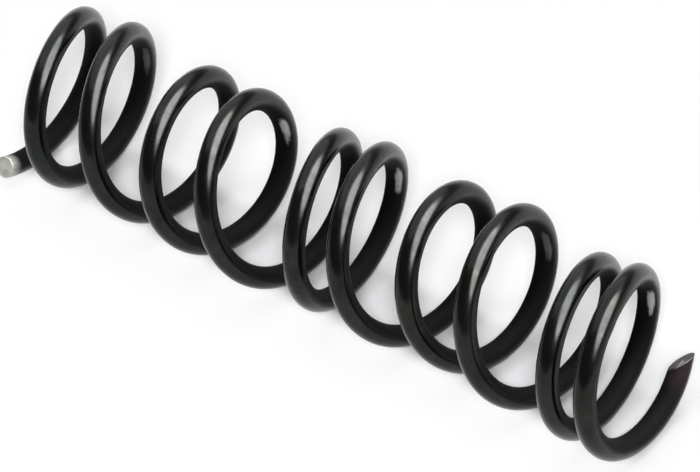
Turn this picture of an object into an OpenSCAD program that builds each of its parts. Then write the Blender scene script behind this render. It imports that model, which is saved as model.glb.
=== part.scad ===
/* [Wire] */
// Diameter of the round spring wire
wire_d = 0.22; // [0.12:0.01:0.28]

/* [Coil] */
// Mean diameter of the coils, from wire centre to wire centre
coil_d = 1.62; // [1.2:0.01:3]
// Travel along the axis for each turn
pitch = 0.79; // [0.7:0.005:1.4]
// Turns of wire from one cut end to the other
turns = 10.25; // [6:0.05:14]
// Angle about the axis at which the wire starts, with 0 at the back and 90 on top
start_angle = 236; // [0:1:359]

/* [Open end] */
// How far the first turns are drawn out along the axis beyond the pitch
lead_reach = 0.365; // [0:0.005:0.5]
// Turns over which they are drawn out
lead_turns = 3; // [1:0.25:4]
// How far the open cut end stands out from the coil radius
flare = 0.19; // [0:0.01:0.4]
// How far that end is bent back in along the axis
tail_in = 0.22; // [0:0.01:0.3]
// Turns over which the end is bent so
flare_turns = 0.4; // [0.35:0.05:1.5]

/* [Closed end] */
// How far the last turns are drawn back towards the coil before them
close_draw = 0.72; // [0:0.02:0.76]
// Turns over which they are drawn back
close_turns = 1.2; // [1.1:0.05:3]
// Angle at which the shears cut the wire there, off a square cut
cut_slant = 42; // [0:2:50]
// Length of wire over which the skin follows that slant
cut_blend = 0.25; // [0.2:0.05:0.5]

/* [Uneven winding] */
// Sway of the coils along the axis that gathers them in pairs
pair_sway = 0.106; // [0:0.002:0.14]
// Angle by which that sway lags
pair_lag = 75; // [0:1:180]
// Lean of each coil along the axis
lean = 0.101; // [0:0.001:0.12]
// Angle by which that lean leads
lean_lead = 34; // [0:1:180]
// Squeeze of the coils along the axis, over three waves in four turns
squeeze = 0.081; // [0:0.001:0.1]
// Angle by which that squeeze leads
squeeze_lead = 13; // [0:1:180]
// Ripple along the axis, over five waves in four turns
ripple = 0.046; // [0:0.002:0.06]
// Angle by which that ripple leads
ripple_lead = 9; // [0:1:180]
// Slow drift of the coils along the axis, over three waves in ten turns
drift = 0.035; // [0:0.001:0.06]
// Angle by which that drift lags
drift_lag = 72; // [0:1:180]
// Shiver of the coils along the axis, over seven waves in five turns
shiver = 0.02; // [0:0.002:0.04]
// Angle by which that shiver leads
shiver_lead = 134; // [0:1:180]
// Stagger of the coils along the axis, over nine waves in ten turns
stagger = 0.018; // [0:0.002:0.04]
// Angle by which that stagger leads
stagger_lead = 163; // [0:1:180]
// Ovality of the coils, narrowest across the angle at which the wire starts
oval = 0.035; // [0:0.005:0.05]
// Change of radius from one coil to the next
swell = 0.028; // [0:0.002:0.06]
// Angle by which that change leads
swell_lead = 76; // [0:1:180]
// Waver of the radius, over four waves in five turns
waver = 0.019; // [0:0.001:0.04]
// Angle by which that waver lags
waver_lag = 26; // [0:1:180]
// Wobble of the radius, a little quicker than the turns
wobble = 0.021; // [0:0.001:0.04]
// Angle by which that wobble lags
wobble_lag = 145; // [0:1:180]
// Flutter of the radius, over seven waves in five turns
flutter = 0.016; // [0:0.002:0.04]
// Angle by which that flutter lags
flutter_lag = 106; // [0:1:180]

/* [Lie] */
// Tip of the axis that brings both ends down on a flat surface
lie_tilt = 0.7; // [0:0.1:5]

/* [Smoothness] */
// Rings of skin laid along the wire for each turn
rings_per_turn = 28; // [20:4:32]
// Flats around the round wire
wire_sides = 14; // [10:2:16]

/* [Hidden] */

// Angle each wave of the winding goes through in one turn of wire
pair_rate = 180;
lean_rate = 360;
squeeze_rate = 270;
ripple_rate = 450;
drift_rate = 108;
shiver_rate = 504;
stagger_rate = 324;
oval_rate = 720;
swell_rate = 180;
waver_rate = 288;
wobble_rate = 414;
flutter_rate = 504;

// Part of a turn to either side over which the wire's heading is taken
heading_step = 0.001;

rings = ceil(turns * rings_per_turn);

// One at distance 0, falling smoothly to nothing at the given reach
function fade(distance, reach) = pow(max(0, 1 - distance / reach), 2);

// Uneven travel along the axis
function sway(turn) =
    pair_sway * cos(pair_rate * turn - pair_lag)
    + lean * cos(lean_rate * turn + lean_lead)
    - squeeze * cos(squeeze_rate * turn + squeeze_lead)
    + ripple * cos(ripple_rate * turn + ripple_lead)
    + drift * cos(drift_rate * turn - drift_lag)
    + shiver * cos(shiver_rate * turn + shiver_lead)
    + stagger * cos(stagger_rate * turn + stagger_lead);

// Place of the wire along the coil's axis
function axial(turn) =
    pitch * turn + sway(turn)
    - lead_reach * fade(turn, lead_turns)
    + tail_in * fade(turn, flare_turns)
    - close_draw * fade(turns - turn, close_turns);

// Distance of the wire's centre from the coil's axis
function radial(turn) =
    coil_d / 2
    - oval * cos(oval_rate * turn)
    + swell * cos(swell_rate * turn + swell_lead)
    + waver * cos(waver_rate * turn - waver_lag)
    + wobble * cos(wobble_rate * turn - wobble_lag)
    + flutter * cos(flutter_rate * turn - flutter_lag)
    + flare * fade(turn, flare_turns);

// Angle about the coil's axis
function around(turn) = start_angle + 360 * turn;

// A direction or point set down by the tip of the axis
function lie(p) = [
    p[0] * cos(lie_tilt) + p[2] * sin(lie_tilt),
    p[1],
    p[2] * cos(lie_tilt) - p[0] * sin(lie_tilt)
];

// Centre of the wire
function centre(turn) = lie([
    axial(turn),
    radial(turn) * cos(around(turn)),
    radial(turn) * sin(around(turn))
]);

function unit(v) = v / norm(v);

// Direction of the wire
function heading(turn) = unit(centre(turn + heading_step) - centre(turn - heading_step));

// How much of the slanted cut the skin follows, from nothing to one at the closed end
function cut_share(turn) = max(0, 1 - (turns - turn) * PI * coil_d / cut_blend);

// Corners of the skin around the wire, square to its heading but for the slanted cut
function ring(turn) =
    let (
        ahead = heading(turn),
        side = unit(cross(ahead, lie([0, cos(around(turn)), sin(around(turn))]))),
        out = cross(side, ahead),
        slope = cut_share(turn) * tan(cut_slant) / sqrt(2)
    )
    [for (i = [0:wire_sides - 1])
        let (a = 360 * i / wire_sides)
        centre(turn) + wire_d / 2 * (
            cos(a) * out + sin(a) * side + slope * (cos(a) - sin(a)) * ahead
        )];

// Faces of the skin between one ring and the next
function skin_faces() = [
    for (r = [0:rings - 1], i = [0:wire_sides - 1])
        let (
            next = (i + 1) % wire_sides,
            a = r * wire_sides + i,
            b = r * wire_sides + next,
            c = a + wire_sides,
            d = b + wire_sides
        )
        each [[a, b, d], [a, d, c]]
];

// Flat faces that close the two cut ends
function first_cut() = [for (i = [wire_sides - 1:-1:0]) i];
function last_cut() = [for (i = [0:wire_sides - 1]) rings * wire_sides + i];

// The spring, lying along X on Z = 0 and centred in X and Y
module coil_spring() {
    points = [for (r = [0:rings]) each ring(turns * r / rings)];
    lowest = min([for (p = points) p[2]]);
    left = min([for (p = points) p[0]]);
    right = max([for (p = points) p[0]]);
    near = min([for (p = points) p[1]]);
    far = max([for (p = points) p[1]]);
    color("#1d2022")
        translate([-(left + right) / 2, -(near + far) / 2, -lowest])
            polyhedron(points, concat(skin_faces(), [first_cut(), last_cut()]), 4);
}

coil_spring();
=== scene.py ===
"""Lock tumbler spring: black wire coil, white paper floor, soft light and camera."""

import math

import bpy
import numpy as np
from mathutils import Matrix, Vector


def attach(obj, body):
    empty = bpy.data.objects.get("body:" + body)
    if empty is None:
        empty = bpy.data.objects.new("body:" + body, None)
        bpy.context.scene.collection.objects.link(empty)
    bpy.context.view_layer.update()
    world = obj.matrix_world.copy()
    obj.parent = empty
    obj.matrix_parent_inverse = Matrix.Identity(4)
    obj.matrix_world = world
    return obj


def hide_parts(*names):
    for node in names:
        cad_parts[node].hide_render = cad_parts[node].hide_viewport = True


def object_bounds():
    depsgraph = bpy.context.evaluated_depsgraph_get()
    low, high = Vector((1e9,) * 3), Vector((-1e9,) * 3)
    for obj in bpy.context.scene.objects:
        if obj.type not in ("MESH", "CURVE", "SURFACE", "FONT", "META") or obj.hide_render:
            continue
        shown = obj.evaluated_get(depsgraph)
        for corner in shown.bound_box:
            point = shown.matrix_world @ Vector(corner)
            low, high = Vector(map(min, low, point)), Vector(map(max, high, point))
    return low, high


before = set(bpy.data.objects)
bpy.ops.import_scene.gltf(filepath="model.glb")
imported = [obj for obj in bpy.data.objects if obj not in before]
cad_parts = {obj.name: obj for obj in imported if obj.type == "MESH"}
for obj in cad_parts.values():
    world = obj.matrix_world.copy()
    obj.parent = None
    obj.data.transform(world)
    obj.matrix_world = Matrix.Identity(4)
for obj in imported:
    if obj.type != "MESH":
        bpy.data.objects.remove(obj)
cad_low, cad_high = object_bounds()

MM = 0.001

# ---------------------------------------------------------------- the winding
# The same named sizes as the part's source, in millimetres, turns and degrees. Turns are counted
# from the open end.
WIRE_D = 0.22
COIL_D = 1.62
PITCH = 0.79
TURNS = 10.25
START_ANGLE = 236
LEAD_REACH, LEAD_TURNS = 0.365, 3
FLARE, TAIL_IN, FLARE_TURNS = 0.19, 0.22, 0.4
CLOSE_DRAW, CLOSE_TURNS = 0.72, 1.2
CUT_SLANT, CUT_BLEND = 42, 0.25
PAIR_SWAY, PAIR_LAG = 0.106, 75
LEAN, LEAN_LEAD = 0.101, 34
SQUEEZE, SQUEEZE_LEAD = 0.081, 13
RIPPLE, RIPPLE_LEAD = 0.046, 9
DRIFT, DRIFT_LAG = 0.035, 72
SHIVER, SHIVER_LEAD = 0.02, 134
STAGGER, STAGGER_LEAD = 0.018, 163
OVAL = 0.035
SWELL, SWELL_LEAD = 0.028, 76
WAVER, WAVER_LAG = 0.019, 26
WOBBLE, WOBBLE_LAG = 0.021, 145
FLUTTER, FLUTTER_LAG = 0.016, 106
LIE_TILT = 0.7

# Angle each wave of the winding goes through in one turn of wire
PAIR_RATE, LEAN_RATE, SQUEEZE_RATE, RIPPLE_RATE = 180, 360, 270, 450
DRIFT_RATE, SHIVER_RATE, STAGGER_RATE = 108, 504, 324
OVAL_RATE, SWELL_RATE, WAVER_RATE, WOBBLE_RATE, FLUTTER_RATE = 720, 180, 288, 414, 504

# Fineness of the visible wire
RINGS_PER_TURN = 120
WIRE_SIDES = 40
HEADING_STEP = 0.001


def cosd(angle):
    return np.cos(np.radians(angle))


def sind(angle):
    return np.sin(np.radians(angle))


def fade(distance, reach):
    """One at distance 0, falling smoothly to nothing at the given reach."""
    return np.clip(1 - distance / reach, 0, None) ** 2


def axial(turn):
    """Place of the wire along the coil's axis."""
    return (
        PITCH * turn
        + PAIR_SWAY * cosd(PAIR_RATE * turn - PAIR_LAG)
        + LEAN * cosd(LEAN_RATE * turn + LEAN_LEAD)
        - SQUEEZE * cosd(SQUEEZE_RATE * turn + SQUEEZE_LEAD)
        + RIPPLE * cosd(RIPPLE_RATE * turn + RIPPLE_LEAD)
        + DRIFT * cosd(DRIFT_RATE * turn - DRIFT_LAG)
        + SHIVER * cosd(SHIVER_RATE * turn + SHIVER_LEAD)
        + STAGGER * cosd(STAGGER_RATE * turn + STAGGER_LEAD)
        - LEAD_REACH * fade(turn, LEAD_TURNS)
        + TAIL_IN * fade(turn, FLARE_TURNS)
        - CLOSE_DRAW * fade(TURNS - turn, CLOSE_TURNS)
    )


def radial(turn):
    """Distance of the wire's centre from the coil's axis."""
    return (
        COIL_D / 2
        - OVAL * cosd(OVAL_RATE * turn)
        + SWELL * cosd(SWELL_RATE * turn + SWELL_LEAD)
        + WAVER * cosd(WAVER_RATE * turn - WAVER_LAG)
        + WOBBLE * cosd(WOBBLE_RATE * turn - WOBBLE_LAG)
        + FLUTTER * cosd(FLUTTER_RATE * turn - FLUTTER_LAG)
        + FLARE * fade(turn, FLARE_TURNS)
    )


def lie(points):
    """Sets rows of x, y, z down by the tip of the axis."""
    x, y, z = points[:, 0], points[:, 1], points[:, 2]
    return np.column_stack(
        (x * cosd(LIE_TILT) + z * sind(LIE_TILT), y, z * cosd(LIE_TILT) - x * sind(LIE_TILT))
    )


def around(turn):
    """Angle about the coil's axis."""
    return START_ANGLE + 360 * turn


def centre_line(turn):
    """Centre of the wire at each of an array of turns."""
    reach, angle = radial(turn), around(turn)
    return lie(np.column_stack((axial(turn), reach * cosd(angle), reach * sind(angle))))


def unit_rows(rows):
    return rows / np.linalg.norm(rows, axis=1)[:, None]


def wire_frames(turn):
    """Centre, heading, outward and sideways directions of the wire at each turn."""
    centre = centre_line(turn)
    ahead = unit_rows(centre_line(turn + HEADING_STEP) - centre_line(turn - HEADING_STEP))
    angle = around(turn)
    away = lie(np.column_stack((np.zeros_like(turn), cosd(angle), sind(angle))))
    side = unit_rows(np.cross(ahead, away))
    out = np.cross(side, ahead)
    return centre, ahead, out, side


# ---------------------------------------------------------------- the wire mesh
# Rings of a cut face from its middle to its rim: a share of the wire's size, and how far the ring
# stands out along the wire. The skin ends short of the cut by the inset, which rounds the rim over.
CUT_FACE = ((0.30, 0.002), (0.72, 0.002), (0.90, 0.0005), (0.96, -0.002), (0.99, -0.006))
RIM_INSET = 0.012

# Share around the wire that is given to the middle of a cut face
HUB_SHARE = 0.5

BLACK_INDEX, CUT_INDEX = 0, 1
UV_NAME = "along_and_around"


def wire_rings():
    """Rings of corners from one cut face to the other, the turn of each ring, and the middles of
    the two cut faces."""
    count = int(math.ceil(TURNS * RINGS_PER_TURN))
    turn = np.linspace(0, TURNS, count + 1)
    centre, ahead, out, side = wire_frames(turn)
    cut_share = np.clip(1 - (TURNS - turn) * math.pi * COIL_D / CUT_BLEND, 0, None)
    slope = cut_share * math.tan(math.radians(CUT_SLANT)) / math.sqrt(2)
    angle = 2 * math.pi * np.arange(WIRE_SIDES) / WIRE_SIDES
    ca, sa = np.cos(angle), np.sin(angle)

    def ring(i, size=1.0, along=0.0):
        """Corners of one ring, drawn in to a share of the wire's size and moved along it."""
        radius = size * WIRE_D / 2
        return (
            centre[i]
            + radius * (np.outer(ca, out[i]) + np.outer(sa, side[i]))
            + np.outer(radius * slope[i] * (ca - sa) + along, ahead[i])
        )

    first_face = [ring(0, size, -stand) for size, stand in CUT_FACE]
    last_face = [ring(count, size, stand) for size, stand in reversed(CUT_FACE)]
    skin = [ring(i) for i in range(count + 1)]
    skin[0] = ring(0, along=RIM_INSET)
    skin[-1] = ring(count, along=-RIM_INSET)
    caps = len(CUT_FACE)
    ring_turn = np.concatenate((np.zeros(caps), turn, np.full(caps, TURNS)))
    return first_face + skin + last_face, ring_turn, (centre[0], centre[-1])


def wire_faces(ring_turn):
    """Faces from ring to ring and at the two hubs, with the turn and the share around the wire of
    each of their corners, and the material of each face."""
    count, caps = len(ring_turn), len(CUT_FACE)
    faces, places, materials = [], [], []
    for r in range(count - 1):
        t0, t1 = ring_turn[r], ring_turn[r + 1]
        in_cut = r < caps - 1 or r >= count - caps
        for i in range(WIRE_SIDES):
            a, b = r * WIRE_SIDES + i, r * WIRE_SIDES + (i + 1) % WIRE_SIDES
            v0, v1 = i / WIRE_SIDES, (i + 1) / WIRE_SIDES
            faces.append((a, a + WIRE_SIDES, b + WIRE_SIDES, b))
            places += [(t0, v0), (t1, v0), (t1, v1), (t0, v1)]
            materials.append(CUT_INDEX if in_cut else BLACK_INDEX)

    last_ring = (count - 1) * WIRE_SIDES
    first_hub, last_hub = count * WIRE_SIDES, count * WIRE_SIDES + 1
    for i in range(WIRE_SIDES):
        j = (i + 1) % WIRE_SIDES
        v0, v1 = i / WIRE_SIDES, (i + 1) / WIRE_SIDES
        faces.append((first_hub, i, j))
        places += [(0, HUB_SHARE), (0, v0), (0, v1)]
        faces.append((last_hub, last_ring + j, last_ring + i))
        places += [(TURNS, HUB_SHARE), (TURNS, v1), (TURNS, v0)]
        materials += [CUT_INDEX, CUT_INDEX]
    return faces, places, materials


def build_wire():
    """The whole spring as one closed mesh with rounded-over cut ends."""
    rings, ring_turn, hubs = wire_rings()
    points = np.vstack(rings + [np.array(hubs)])
    faces, places, materials = wire_faces(ring_turn)

    # Set down in the same place as the solid: centred in its box and on its lowest point
    low, high = points.min(axis=0), points.max(axis=0)
    middle = (cad_low + cad_high) / 2 / MM
    shift = np.array((
        middle.x - (low[0] + high[0]) / 2,
        middle.y - (low[1] + high[1]) / 2,
        cad_low.z / MM - low[2],
    ))
    points = (points + shift) * MM

    mesh = bpy.data.meshes.new("coil_wire")
    mesh.from_pydata([tuple(p) for p in points], [], faces)
    layer = mesh.uv_layers.new(name=UV_NAME)
    layer.data.foreach_set("uv", np.array(places, dtype=np.float32).ravel())
    mesh.polygons.foreach_set("use_smooth", [True] * len(faces))
    mesh.polygons.foreach_set("material_index", materials)
    mesh.update()
    mesh.validate()
    return mesh


# ---------------------------------------------------------------- node helpers
class Nodes:
    """Builds the nodes of one material."""

    def __init__(self, name):
        self.material = bpy.data.materials.new(name)
        self.material.use_nodes = True
        self.tree = self.material.node_tree
        self.tree.nodes.clear()
        self.output = self.add("ShaderNodeOutputMaterial")

    def add(self, kind, **settings):
        node = self.tree.nodes.new(kind)
        for key, value in settings.items():
            setattr(node, key, value)
        return node

    def link(self, source, target):
        self.tree.links.new(source, target)

    def place(self):
        """Place in the object's own metres."""
        return self.add("ShaderNodeTexCoord").outputs["Object"]

    def split(self, vector):
        """The three parts of a vector."""
        node = self.add("ShaderNodeSeparateXYZ")
        self.link(vector, node.inputs[0])
        return node.outputs

    def math(self, operation, a, b=0.0):
        node = self.add("ShaderNodeMath", operation=operation)
        for socket, value in zip(node.inputs, (a, b)):
            if isinstance(value, (int, float)):
                socket.default_value = value
            else:
                self.link(value, socket)
        return node.outputs[0]

    def square(self, value):
        return self.math("MULTIPLY", value, value)

    def wave(self, value, crest, period):
        """A cosine wave from -1 to 1 with a crest at the value given."""
        beyond = self.math("SUBTRACT", value, crest)
        return self.math("COSINE", self.math("MULTIPLY", beyond, 2 * math.pi / period))

    def noise(self, vector, scale, detail, rough):
        node = self.add("ShaderNodeTexNoise")
        node.inputs["Scale"].default_value = scale
        node.inputs["Detail"].default_value = detail
        node.inputs["Roughness"].default_value = rough
        self.link(vector, node.inputs["Vector"])
        return node.outputs[0]

    def spread(self, value, low, high, to_low=0.0, to_high=1.0):
        """Goes smoothly from one result to another as the value goes from low to high."""
        node = self.add("ShaderNodeMapRange", interpolation_type="SMOOTHSTEP")
        self.link(value, node.inputs[0])
        for socket, number in zip(node.inputs[1:5], (low, high, to_low, to_high)):
            socket.default_value = number
        return node.outputs[0]

    def mix(self, factor, a, b):
        """Mixes two colours, each a socket or three numbers."""
        node = self.add("ShaderNodeMix", data_type="RGBA")
        self.link(factor, node.inputs[0])
        for socket, value in ((node.inputs[6], a), (node.inputs[7], b)):
            if isinstance(value, tuple):
                socket.default_value = (*value, 1)
            else:
                self.link(value, socket)
        return node.outputs[2]

    def bump(self, height, strength, distance):
        node = self.add("ShaderNodeBump")
        node.inputs["Strength"].default_value = strength
        node.inputs["Distance"].default_value = distance
        self.link(height, node.inputs["Height"])
        return node.outputs[0]

    def metal(self, colour, rough, normal):
        """Finishes the material as a metal and returns it."""
        shader = self.add("ShaderNodeBsdfPrincipled")
        shader.inputs["Metallic"].default_value = 1.0
        self.link(colour, shader.inputs["Base Color"])
        self.link(rough, shader.inputs["Roughness"])
        self.link(normal, shader.inputs["Normal"])
        self.link(shader.outputs[0], self.output.inputs[0])
        return self.material


# One turn of the coil counts as this many radii of the wire, so that noise is drawn out along it
GRAIN_STRETCH = 1.8


def around_wire(n):
    """Turn along the wire, share around it, how far that faces out from the coil's axis (1) or in
    to it (-1), and a seamless place that runs along the wire and round it."""
    turn, share = n.split(n.add("ShaderNodeUVMap", uv_map=UV_NAME).outputs[0])[:2]
    angle = n.math("MULTIPLY", share, 2 * math.pi)
    outward = n.math("COSINE", angle)
    joined = n.add("ShaderNodeCombineXYZ")
    n.link(n.math("MULTIPLY", turn, GRAIN_STRETCH), joined.inputs[0])
    n.link(outward, joined.inputs[1])
    n.link(n.math("SINE", angle), joined.inputs[2])
    return turn, share, outward, joined.outputs[0]


# ---------------------------------------------------------------- blackened wire
# Noises: scale, detail and roughness. These three run along the wire.
DRAW_LINES = (14.0, 3.0, 0.6)
RUB_STREAKS = (5.0, 5.0, 0.7)
GLINT_STREAKS = (9.0, 4.0, 0.6)

# These run through space, from the broadest to the finest
TINT = (420.0, 2.0, 0.5)
PATCHES = (640.0, 2.0, 0.5)
MOTTLE = (1400.0, 5.0, 0.6)
CLOUD = (6500.0, 4.0, 0.65)
GLINT_CRUMBS = (7000.0, 4.0, 0.65)
GRAIN = (16000.0, 3.0, 0.6)

# Oxide: cool black with olive, warm and grey patches and with pale and dark clouds. Each edge is
# the stretch of its noise over which the colour comes in or goes.
COOL_BLACK = (0.0238, 0.0258, 0.0258)
OLIVE_BLACK, OLIVE_EDGE = (0.0262, 0.0262, 0.0240), (0.40, 0.60)
WARM_BLACK, WARM_EDGE = (0.0290, 0.0262, 0.0266), (0.54, 0.66)
GREY_BLACK, GREY_EDGE = (0.0325, 0.0325, 0.0322), (0.35, 0.75)
PALE_CLOUD, PALE_EDGE = (0.0400, 0.0385, 0.0385), (0.52, 0.68)
DARK_CLOUD, DARK_EDGE = (0.0190, 0.0212, 0.0210), (0.34, 0.48)
CLOUD_SHARE = 0.75

# The side towards the coil's axis is matt, and its darker colour is painted shade
PAINTED_SHADE_COOL, PAINTED_SHADE_WARM, MATT_EDGE = (0.0090, 0.0094, 0.0093), (0.0099, 0.0092, 0.0092), (0.42, 0.58)
INSIDE_SHADE_AND_MATT_EDGE = (-0.45, 0.25)

# Heat tint over the last part of a turn at the slanted end, and its share where it is strongest
HEAT_TINT, HEAT_SHARE = (0.045, 0.030, 0.034), 0.5
HEAT_EDGE = (TURNS - 0.07, TURNS - 0.02)

# Paler over the first part of a turn at the open end
PALE_TAIL, PALE_TAIL_SHARE = (0.40, 0.415, 0.37), 0.8
PALE_TAIL_EDGE = (0.003, 0.026)

# Rubs on the outermost line of the coils
RUBBED, RUB_SHARE = (0.080, 0.078, 0.076), 0.3
CREST_EDGE, RUB_EDGE = (0.72, 1.0), (0.52, 0.74)

# Pale painted highlights inside the front coil of each pair: the place and reach of each, in turns
# and as a share of the way round the wire, and how ragged and how soft its edge is
PAINTED_GLINT = (0.40, 0.385, 0.385)
PAIR_TURNS = 2.0
GLINT_TURN, GLINT_REACH = 1.366, 0.050
GLINT_SHARE, GLINT_WIDTH = 0.638, 0.066
RAGGED, GLINT_EDGE = 1.3, (0.15, 1.05)

# They are strongest about one turn and fainter half a beat from it
STRONG_TURN, BEAT_TURNS = 4.36, 6
BEAT_EDGE, FAINT_GLINT = (-1.0, 0.5), 0.25

# Roughness: from low to high of a noise, and the roughness at each. The first is the satin's own,
# and the others are added to it.
LINE_ROUGH = (0.25, 0.75, 0.18, 0.24)
MOTTLE_ROUGH = (0.3, 0.8, 0.0, 0.05)
CLOUD_ROUGH = (0.3, 0.7, 0.02, -0.03)
MATT_ROUGH = 0.60

# Relief: shares of the draw lines and the grain, and its strength and depth
LINE_RELIEF, GRAIN_RELIEF = 0.6, 0.4
WIRE_RELIEF = (0.20, 0.004 * MM)


def black_wire():
    """Blackened spring steel: satin on the outside of the coils and matt inside them, where a
    darker colour is painted shade, with draw lines along the wire, oxide tints, light rubs and pale
    painted highlights."""
    n = Nodes("black_wire")
    place = n.place()
    turn, share, outward, lengthwise = around_wire(n)
    draw_lines = n.noise(lengthwise, *DRAW_LINES)
    patches = n.noise(place, *PATCHES)
    mottle = n.noise(place, *MOTTLE)
    cloud = n.noise(place, *CLOUD)

    black = n.mix(n.spread(n.noise(place, *TINT), *OLIVE_EDGE), COOL_BLACK, OLIVE_BLACK)
    black = n.mix(n.spread(patches, *WARM_EDGE), black, WARM_BLACK)
    black = n.mix(n.spread(mottle, *GREY_EDGE), black, GREY_BLACK)
    black = n.mix(n.spread(cloud, *PALE_EDGE, 0.0, CLOUD_SHARE), black, PALE_CLOUD)
    black = n.mix(n.spread(cloud, *DARK_EDGE, CLOUD_SHARE, 0.0), black, DARK_CLOUD)
    # Painted shade: a darker colour on the side towards the coil's axis
    matt = n.mix(n.spread(patches, *MATT_EDGE), PAINTED_SHADE_COOL, PAINTED_SHADE_WARM)
    colour = n.mix(n.spread(outward, *INSIDE_SHADE_AND_MATT_EDGE), matt, black)
    colour = n.mix(n.spread(turn, *HEAT_EDGE, 0.0, HEAT_SHARE), colour, HEAT_TINT)
    colour = n.mix(n.spread(turn, *PALE_TAIL_EDGE, PALE_TAIL_SHARE, 0.0), colour, PALE_TAIL)

    rub = n.math("MULTIPLY", n.spread(outward, *CREST_EDGE),
                 n.spread(n.noise(lengthwise, *RUB_STREAKS), *RUB_EDGE, 0.0, RUB_SHARE))
    colour = n.mix(rub, colour, RUBBED)
    # Pale painted highlights inside the front coil of each pair
    colour = n.mix(painted_glints(n, place, lengthwise, turn, share), colour, PAINTED_GLINT)

    rough = n.spread(draw_lines, *LINE_ROUGH)
    rough = n.math("ADD", rough, n.spread(mottle, *MOTTLE_ROUGH))
    rough = n.math("ADD", rough, n.spread(cloud, *CLOUD_ROUGH))
    rough = n.math("ADD", rough, n.spread(outward, *INSIDE_SHADE_AND_MATT_EDGE, MATT_ROUGH, 0.0))

    height = n.math("ADD", n.math("MULTIPLY", draw_lines, LINE_RELIEF),
                    n.math("MULTIPLY", n.noise(place, *GRAIN), GRAIN_RELIEF))
    return n.metal(colour, rough, n.bump(height, *WIRE_RELIEF))


def painted_glints(n, place, lengthwise, turn, share):
    """Share of painted highlight at each place: one oval with a ragged edge in each pair of turns.
    """
    pair_turn = n.math("MODULO", turn, PAIR_TURNS)
    off_turn = n.math("DIVIDE", n.math("SUBTRACT", pair_turn, GLINT_TURN), GLINT_REACH)
    off_share = n.math("DIVIDE", n.math("SUBTRACT", share, GLINT_SHARE), GLINT_WIDTH)
    off = n.math("ADD", n.square(off_turn), n.square(off_share))

    # The two noises together lie about 1
    ragged = n.math("ADD", n.noise(place, *GLINT_CRUMBS), n.noise(lengthwise, *GLINT_STREAKS))
    ragged = n.math("SUBTRACT", ragged, 1.0)
    off = n.math("ADD", off, n.math("MULTIPLY", ragged, RAGGED))
    strength = n.spread(n.wave(turn, STRONG_TURN, BEAT_TURNS), *BEAT_EDGE, FAINT_GLINT, 1.0)
    return n.math("MULTIPLY", n.spread(off, *GLINT_EDGE, 1.0, 0.0), strength)


# ---------------------------------------------------------------- cut faces
# Noises: scale, detail and roughness
SMEAR, FLECK = (9000.0, 4.0, 0.6), (2600.0, 3.0, 0.5)
SMEAR_EDGE = (0.3, 0.7)

# The open end is pale with duller flecks
PALE_STEEL, BRIGHT_STEEL = (0.58, 0.60, 0.54), (0.78, 0.79, 0.73)
DULL_FLECK, FLECK_SHARE, FLECK_EDGE = (0.42, 0.43, 0.39), 0.7, (0.54, 0.66)

# The slanted end is dark with a pale painted highlight at one side
DARK_STEEL, DIM_STEEL = (0.066, 0.058, 0.063), (0.122, 0.110, 0.118)
RIM_GLINT, RIM_GLINT_SHARE = (0.36, 0.34, 0.35), 0.60
RIM_GLINT_REACH, RIM_GLINT_EDGE = (0.02, 0.13), (0.25, 0.5)

CUT_ROUGH = (0.42, 0.58)
CUT_RELIEF = (0.4, 0.006 * MM)


def cut_steel():
    """Sheared steel at the two ends of the wire: pale at the open end, dark at the slanted one."""
    n = Nodes("cut_steel")
    place = n.place()
    turn, share = around_wire(n)[:2]
    smear = n.noise(place, *SMEAR)
    smeared = n.spread(smear, *SMEAR_EDGE)

    pale = n.mix(smeared, PALE_STEEL, BRIGHT_STEEL)
    fleck = n.spread(n.noise(place, *FLECK), *FLECK_EDGE, 0.0, FLECK_SHARE)
    pale = n.mix(fleck, pale, DULL_FLECK)

    # Painted highlight at one side of the slanted face
    off_rim_glint = n.math("ABSOLUTE", n.math("SUBTRACT", share, RIM_GLINT_SHARE))
    rim_glint = n.math("MULTIPLY", n.spread(off_rim_glint, *RIM_GLINT_REACH, 1.0, 0.0),
                  n.spread(smear, *RIM_GLINT_EDGE))
    dark = n.mix(rim_glint, n.mix(smeared, DARK_STEEL, DIM_STEEL), RIM_GLINT)

    colour = n.mix(n.math("GREATER_THAN", turn, TURNS / 2), pale, dark)
    rough = n.spread(smear, *SMEAR_EDGE, *CUT_ROUGH)
    return n.metal(colour, rough, n.bump(smear, *CUT_RELIEF))


# ---------------------------------------------------------------- white paper
# The paper's colour is darker under the coils: painted shade. It changes over each edge: in
# front of them, behind them and past their two ends.
PAPER, SHADED_PAPER = (0.92, 0.92, 0.92), (0.795, 0.80, 0.81)
FRONT_EDGE, BACK_EDGE = (-0.4 * MM, -0.1 * MM), (0.45 * MM, 0.7 * MM)
END_EDGE = (3.2 * MM, 3.9 * MM)

# Share of plain white in what is seen of the floor: none under the coils, so the shadow is whole
# there, and more across the same edges, well behind the coils and far from their middle
FRONT_GLOW = 0.8
BEYOND_EDGE = (2.0 * MM, 3.4 * MM)
FAR_EDGE = (4.5 * MM, 14 * MM)

# Behind the coils the share is greater where they stand apart and less where they crowd in pairs
APART_GLOW, CROWD_GLOW = 0.5, 0.06
CROWD_PLACE, CROWD_PERIOD = -0.8 * MM, 3.35 * MM


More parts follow.
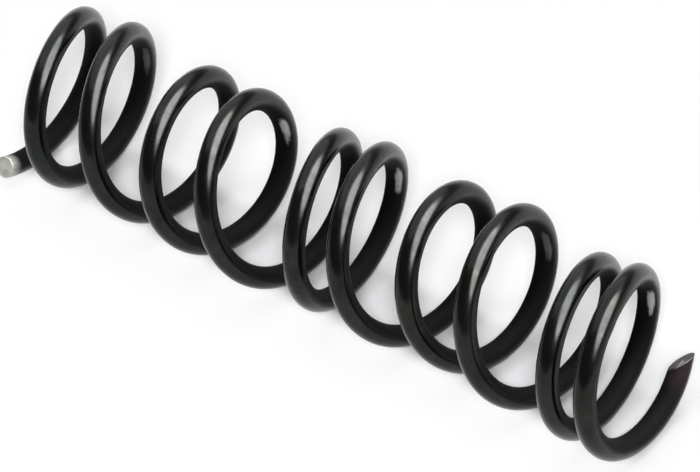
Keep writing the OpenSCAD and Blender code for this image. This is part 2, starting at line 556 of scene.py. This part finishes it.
def white_paper():
    """Matt white floor that holds a pale shadow close to the coils, with painted shade in its
    colour under them, and that the camera and reflections see as plain white elsewhere."""
    n = Nodes("white_paper")
    place = n.place()
    x, y = n.split(place)[:2]
    distance = n.add("ShaderNodeVectorMath", operation="LENGTH")
    n.link(place, distance.inputs[0])
    in_front = n.spread(y, *FRONT_EDGE, 1.0, 0.0)
    at_back = n.spread(y, *BACK_EDGE)
    past_ends = n.spread(n.math("ABSOLUTE", x), *END_EDGE)
    clear = n.math("MAXIMUM", n.math("MAXIMUM", in_front, at_back), past_ends)

    crowd = n.wave(x, CROWD_PLACE, CROWD_PERIOD)
    before = n.math("MULTIPLY", in_front, FRONT_GLOW)
    behind = n.math("MULTIPLY", at_back, n.spread(crowd, -1.0, 1.0, APART_GLOW, CROWD_GLOW))
    beyond = n.spread(y, *BEYOND_EDGE, 0.0, FRONT_GLOW)
    far = n.spread(distance.outputs["Value"], *FAR_EDGE)
    near = n.math("MAXIMUM", before, behind)
    glow = n.math("MAXIMUM", near, n.math("MAXIMUM", beyond, far))

    ray = n.add("ShaderNodeLightPath").outputs
    seen = n.math("MAXIMUM", ray["Is Camera Ray"], ray["Is Glossy Ray"])
    seen = n.math("MAXIMUM", seen, ray["Is Transmission Ray"])

    matt = n.add("ShaderNodeBsdfDiffuse")
    # Painted shade: the paper's colour is darker under the coils
    n.link(n.mix(clear, SHADED_PAPER, PAPER), matt.inputs["Color"])
    white = n.add("ShaderNodeEmission")
    white.inputs["Strength"].default_value = 1.0
    join = n.add("ShaderNodeMixShader")
    n.link(n.math("MULTIPLY", seen, glow), join.inputs[0])
    n.link(matt.outputs[0], join.inputs[1])
    n.link(white.outputs[0], join.inputs[2])
    n.link(join.outputs[0], n.output.inputs[0])
    return n.material


# ---------------------------------------------------------------- the spring
spring = bpy.data.objects.new("spring_wire", build_wire())
bpy.context.scene.collection.objects.link(spring)
spring.data.materials.append(black_wire())
spring.data.materials.append(cut_steel())
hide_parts("coil_spring")
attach(spring, "root")


# ---------------------------------------------------------------- floor
# A wide round sheet with a low upright rim
FLOOR_REACH, RIM_HEIGHT, FLOOR_SIDES = 0.25, 0.02, 96


def build_floor():
    """The sheet under the spring, level with its lowest point."""
    step = 2 * math.pi / FLOOR_SIDES
    rim = [(FLOOR_REACH * math.cos(i * step), FLOOR_REACH * math.sin(i * step))
           for i in range(FLOOR_SIDES)]
    points = [(x, y, cad_low.z) for x, y in rim]
    points += [(x, y, cad_low.z + RIM_HEIGHT) for x, y in rim]
    faces = [tuple(range(FLOOR_SIDES))]
    for i in range(FLOOR_SIDES):
        j = (i + 1) % FLOOR_SIDES
        faces.append((j, i, i + FLOOR_SIDES, j + FLOOR_SIDES))
    mesh = bpy.data.meshes.new("floor")
    mesh.from_pydata(points, [], faces)
    return mesh


floor = bpy.data.objects.new("floor", build_floor())
bpy.context.scene.collection.objects.link(floor)
floor.data.materials.append(white_paper())


# ---------------------------------------------------------------- light
LAMP_DISTANCE = 0.12

# Watts for each square metre of a lamp's face and each unit of its brightness
LAMP_POWER = 4

middle = (cad_low + cad_high) / 2


def direction(azimuth, elevation):
    """Unit vector towards a place round the object: azimuth 0 is the front, 90 the +X end."""
    a, e = math.radians(azimuth), math.radians(elevation)
    return Vector((math.sin(a) * math.cos(e), -math.cos(a) * math.cos(e), math.sin(e)))


def turned(across, upward, back):
    """The turn that lays an object's own X, Y and Z along three directions."""
    return Matrix((across, upward, back)).transposed().to_4x4()


def softbox(name, azimuth, elevation, width, height, brightness, along=(1, 0, 0)):
    """An oval lamp facing the object, its width laid along a direction."""
    lamp = bpy.data.lights.new(name, "AREA")
    lamp.shape = "ELLIPSE"
    lamp.size, lamp.size_y = width, height
    face = math.pi / 4 * width * height
    lamp.energy = LAMP_POWER * brightness * face
    holder = bpy.data.objects.new(name, lamp)
    back = direction(azimuth, elevation)
    across = (Vector(along) - back * back.dot(Vector(along))).normalized()
    place = Matrix.Translation(middle + back * LAMP_DISTANCE)
    holder.matrix_world = place @ turned(across, back.cross(across), back)
    bpy.context.scene.collection.objects.link(holder)
    return holder


# Two lamps light the floor, and their soft shadow falls under and behind the coils
floor_lamp = softbox("floor_lamp", azimuth=44, elevation=41, width=0.022, height=0.022,
                     brightness=81)
ceiling = softbox("ceiling", azimuth=0, elevation=83, width=0.10, height=0.08, brightness=2.5)
floor_lamp.visible_glossy = False
ceiling.visible_glossy = False

# Two are mirrored in the dark wire: a window to the right and a paler wall behind
window = softbox("window", azimuth=116, elevation=54, width=0.18, height=0.13, brightness=9.5,
                 along=(0.71, -0.65, -0.25))
wall = softbox("wall", azimuth=225, elevation=58, width=0.24, height=0.20, brightness=0.82)
window.visible_diffuse = False
wall.visible_diffuse = False

WORLD_BRIGHTNESS = 0.20

world = bpy.data.worlds.new("studio")
bpy.context.scene.world = world
world.use_nodes = True
surround = world.node_tree.nodes["Background"]
surround.inputs["Color"].default_value = (1, 1, 1, 1)
surround.inputs["Strength"].default_value = WORLD_BRIGHTNESS


# ---------------------------------------------------------------- camera
CAMERA_AZIMUTH, CAMERA_ELEVATION, CAMERA_ROLL = 44.39, 39.54, -6.84
CAMERA_DISTANCE = 58.55 * MM
FOCAL_LENGTH, SENSOR_WIDTH = 314.7, 36

# How far to the right of the object's middle and above it the camera aims
AIM_RIGHT, AIM_UP = 0.2338 * MM, -0.1671 * MM

# Nearest and farthest that it sees, as shares of its distance
NEAR_SHARE, FAR_SHARE = 0.1, 20

back = direction(CAMERA_AZIMUTH, CAMERA_ELEVATION)
level = Vector((math.cos(math.radians(CAMERA_AZIMUTH)), math.sin(math.radians(CAMERA_AZIMUTH)), 0))
rise = back.cross(level)
roll = math.radians(CAMERA_ROLL)
right = level * math.cos(roll) + rise * math.sin(roll)
up = rise * math.cos(roll) - level * math.sin(roll)
eye = middle + right * AIM_RIGHT + up * AIM_UP + back * CAMERA_DISTANCE

camera = bpy.data.objects.new("camera", bpy.data.cameras.new("camera"))
bpy.context.scene.collection.objects.link(camera)
camera.data.lens = FOCAL_LENGTH
camera.data.sensor_width = SENSOR_WIDTH
camera.data.clip_start = CAMERA_DISTANCE * NEAR_SHARE
camera.data.clip_end = CAMERA_DISTANCE * FAR_SHARE
camera.matrix_world = Matrix.Translation(eye) @ turned(right, up, back)
bpy.context.scene.camera = camera

bpy.context.scene.view_settings.view_transform = "Standard"
